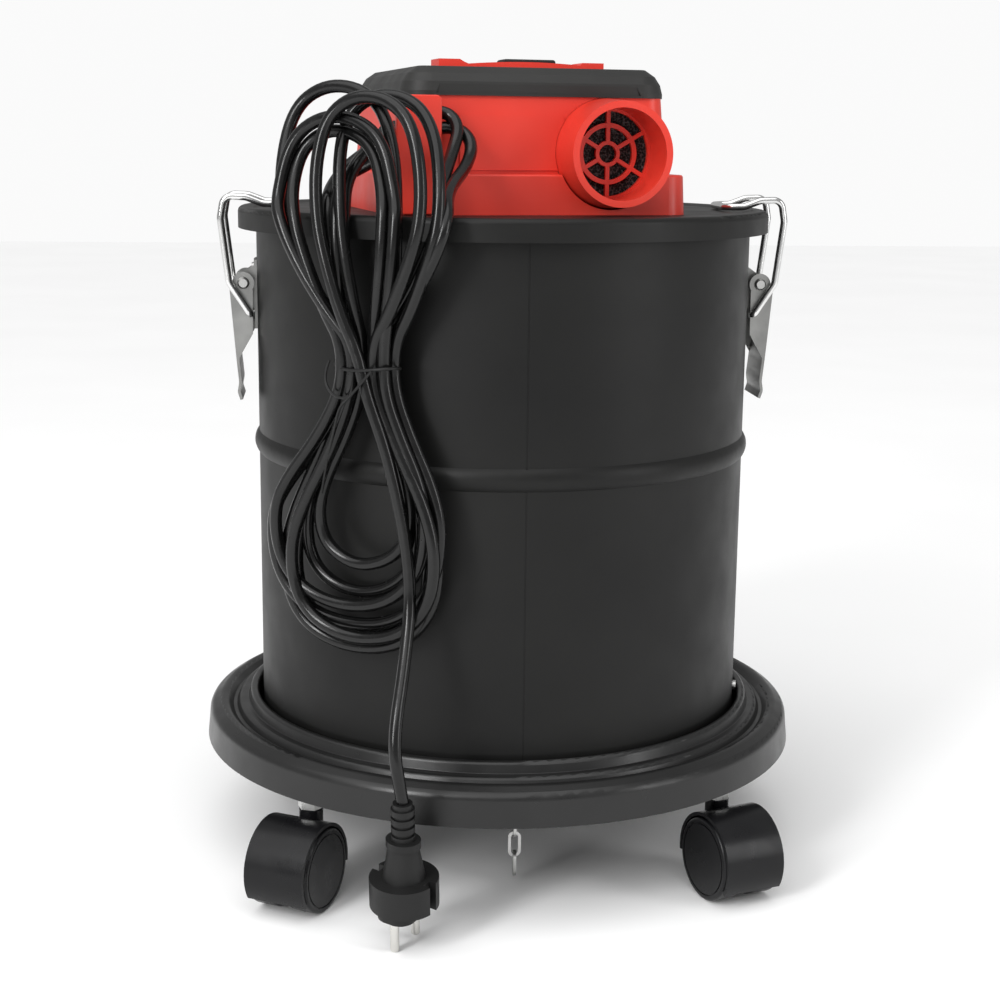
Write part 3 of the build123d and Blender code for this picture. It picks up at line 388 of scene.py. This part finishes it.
zinc = bare_metal("zinc_plate", (0.50, 0.50, 0.49), (0.68, 0.68, 0.67), 0.22, 0.42, (1, 1, 0.12))
zinc_sheet = bare_metal("zinc_sheet", (0.24, 0.24, 0.235), (0.38, 0.38, 0.37), 0.34, 0.50, (1, 0.1, 1))
wire_metal = bare_metal("wire_metal", (0.60, 0.60, 0.60), (0.80, 0.80, 0.79), 0.14, 0.26, (1, 1, 0.2))
nickel = bare_metal("nickel_plate", (0.62, 0.61, 0.58), (0.76, 0.75, 0.72), 0.16, 0.28, (1, 1, 0.2))
motor_steel = bare_metal("motor_steel", (0.36, 0.36, 0.37), (0.5, 0.5, 0.5), 0.3, 0.5, (1, 1, 0.1))

foam = Finish("open_cell_foam", Roughness=0.95, Specular_IOR_Level=0.2)
pore_relief_and_shade = foam.cells(900)
# The colour follows the pore pattern: darkest down in the pore hollows and lightest on the cell walls,
# which is painted shade in the hollows; the same pattern also gives the bump.
foam.colour(
    foam.ramp(
        pore_relief_and_shade,
        (0.15, (0.003, 0.003, 0.003)),
        (0.5, (0.014, 0.014, 0.014)),
        (0.9, (0.09, 0.09, 0.09)),
    )
)
foam.bump(pore_relief_and_shade, 0.0006, 0.8)

paper = Finish("filter_paper", Roughness=0.9, Specular_IOR_Level=0.2)
paper.colour(paper.ramp(paper.noise(70, 6), (0.3, (0.60, 0.56, 0.47)), (0.7, (0.74, 0.71, 0.62))))
paper.bump(paper.noise(900, 5), 0.0001, 0.5)

finishes = {
    "dolly_tray": tray_plastic,
    "tray_screws": zinc,
    "caster_stems": zinc,
    "drum_wall": drum_paint.material,
    "drum_bottom": drum_paint.material,
    "drum_rivets": zinc,
    "inlet_port": cap_plastic,
    "chain_eyelet": zinc,
    "ground_chain": zinc,
    "lid": drum_paint.material,
    "lid_seal": rubber,
    "head_screws": zinc,
    "head_base": red_plastic,
    "head_body": red_plastic,
    "exhaust_port": red_plastic,
    "exhaust_grille": red_plastic,
    "exhaust_foam": foam.material,
    "head_cap": cap_plastic,
    "top_deck": red_plastic,
    "carry_handle": red_plastic,
    "handle_pad": rubber,
    "switch_bezel": cap_plastic,
    "switch_rocker": caster_plastic,
    "cord_hook": red_plastic,
    "strain_relief": rubber,
    "motor_mount": motor_steel,
    "motor_can": motor_steel,
    "motor_rotor": motor_steel,
    "filter_cage": cage_plastic,
    "filter_cartridge": paper.material,
    "filter_nut": cap_plastic,
    "plug_body": rubber,
    "plug_pins": nickel,
    "latch_pins": zinc,
}
for side in ("left", "right"):
    finishes[f"latch_bracket_{side}"] = zinc_sheet
    finishes[f"latch_lever_{side}"] = zinc_sheet
    finishes[f"latch_bail_{side}"] = wire_metal
for corner in ("rear_left", "rear_right", "front_left", "front_right"):
    for piece in ("hood", "wheel_a", "wheel_b"):
        finishes[f"caster_{corner}_{piece}"] = caster_plastic
    finishes[f"caster_{corner}_axle"] = zinc
for name, material in finishes.items():
    data = nodes[name].data
    data.materials.clear()
    data.materials.append(material)


# ------------------------------------------------------------------------------ details
def wire(name, points, radius, material, body, cyclic=False):
    """A smooth round wire through control points."""
    curve = bpy.data.curves.new(name, "CURVE")
    curve.dimensions = "3D"
    thread = curve.splines.new("NURBS")
    thread.points.add(len(points) - 1)
    for control, place in zip(thread.points, points):
        control.co = (*place, 1.0)
    thread.order_u = 3
    thread.use_endpoint_u = not cyclic
    thread.use_cyclic_u = cyclic
    curve.resolution_u = 5
    curve.bevel_depth = radius
    curve.bevel_resolution = 3
    curve.use_fill_caps = True
    piece = bpy.data.objects.new(name, curve)
    scene.collection.objects.link(piece)
    curve.materials.append(material)
    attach(piece, body)
    return piece


# The wire tie: a band round the strands, twisted together on the left, with two loose ends.
TIE_CENTRE = (-3.0, 160.8)
TIE_HALF = (19.8, 14.6)
BAND_STEPS = 20
BAND_WAVE = 1.2
band = []
for step in range(BAND_STEPS):
    angle = 2 * pi * step / BAND_STEPS
    across = TIE_CENTRE[0] + TIE_HALF[0] * cos(angle)
    outward = TIE_CENTRE[1] + TIE_HALF[1] * sin(angle)
    band.append(hank(across, outward, TIE_Z + BAND_WAVE * sin(2 * angle)))
tie_band = wire("cord_tie_band", band, 0.0008, rubber, "lid", cyclic=True)
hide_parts("cord_tie")
TWIST_STEPS = 15
TWIST_R = 0.8
for strand in (0, 1):
    twist = []
    for step in range(TWIST_STEPS):
        angle = pi * step + pi * strand
        share = step / (TWIST_STEPS - 1)
        twist.append(
            hank(
                mix(-2, -15, share) + TWIST_R * cos(angle),
                176.4 + TWIST_R * sin(angle),
                mix(301, 287, share) + TWIST_R * cos(angle),
            )
        )
    if strand:
        twist += [hank(-21, 174, 281), hank(-24, 171, 268), hank(-29, 168, 250), hank(-32, 166, 233)]
    else:
        twist += [hank(-20, 175, 286), hank(-27, 173, 289), hank(-30, 171, 297), hank(-26.5, 170, 305)]
    twisted = wire(f"cord_tie_twist_{strand}", twist, 0.0007, rubber, "lid")

# -------------------------------------------------------------------- floor and lights
FLOOR_HALF = 6.0
BACKDROP_STRENGTH = 0.96  # as the camera sees the world
AMBIENT_STRENGTH = 0.42  # as the world lights the object
floor_mesh = bpy.data.meshes.new("studio_floor")
builder = bmesh.new()
bmesh.ops.create_grid(builder, x_segments=2, y_segments=2, size=FLOOR_HALF)
builder.to_mesh(floor_mesh)
builder.free()
floor = bpy.data.objects.new("studio_floor", floor_mesh)
scene.collection.objects.link(floor)
floor_finish = Finish("studio_paper", Roughness=0.9, Specular_IOR_Level=0.1)
floor_finish.colour(
    floor_finish.ramp(floor_finish.noise(3, 2), (0.3, (0.93, 0.93, 0.93)), (0.7, (0.95, 0.95, 0.95)))
)
floor_mesh.materials.append(floor_finish.material)

world = bpy.data.worlds.new("studio")
world.use_nodes = True
world_nodes, world_links = world.node_tree.nodes, world.node_tree.links
backdrop = world_nodes["Background"]
backdrop.inputs["Color"].default_value = (1.0, 1.0, 1.0, 1.0)
backdrop.inputs["Strength"].default_value = BACKDROP_STRENGTH
ambient = world_nodes.new("ShaderNodeBackground")
ambient.inputs["Color"].default_value = (1.0, 1.0, 1.0, 1.0)
ambient.inputs["Strength"].default_value = AMBIENT_STRENGTH
seen_or_lit = world_nodes.new("ShaderNodeMixShader")
world_links.new(world_nodes.new("ShaderNodeLightPath").outputs["Is Camera Ray"], seen_or_lit.inputs[0])
world_links.new(ambient.outputs[0], seen_or_lit.inputs[1])
world_links.new(backdrop.outputs[0], seen_or_lit.inputs[2])
world_links.new(seen_or_lit.outputs[0], world_nodes["World Output"].inputs["Surface"])
scene.world = world


def soft_light(name, place, target, size, power):
    """A rectangular area light facing a point."""
    light_data = bpy.data.lights.new(name, "AREA")
    light_data.shape = "RECTANGLE"
    light_data.size, light_data.size_y = size
    light_data.energy = power
    light = bpy.data.objects.new(name, light_data)
    light.location = place
    light.rotation_euler = (Vector(target) - Vector(place)).to_track_quat("-Z", "Y").to_euler()
    scene.collection.objects.link(light)


soft_light("key", (-1.3, -1.5, 1.1), (0, 0, 0.28), (0.4, 1.2), 26)
soft_light("fill", (1.6, -1.1, 0.8), (0, 0, 0.25), (0.5, 1.2), 9)
sky_data = bpy.data.lights.new("overhead", "SUN")
sky_data.energy = 1.95
sky_data.angle = radians(75)
sky = bpy.data.objects.new("overhead", sky_data)
sky.rotation_euler = (radians(20), radians(-14), 0)
scene.collection.objects.link(sky)
scene.view_settings.view_transform = "Standard"
scene.view_settings.look = "None"
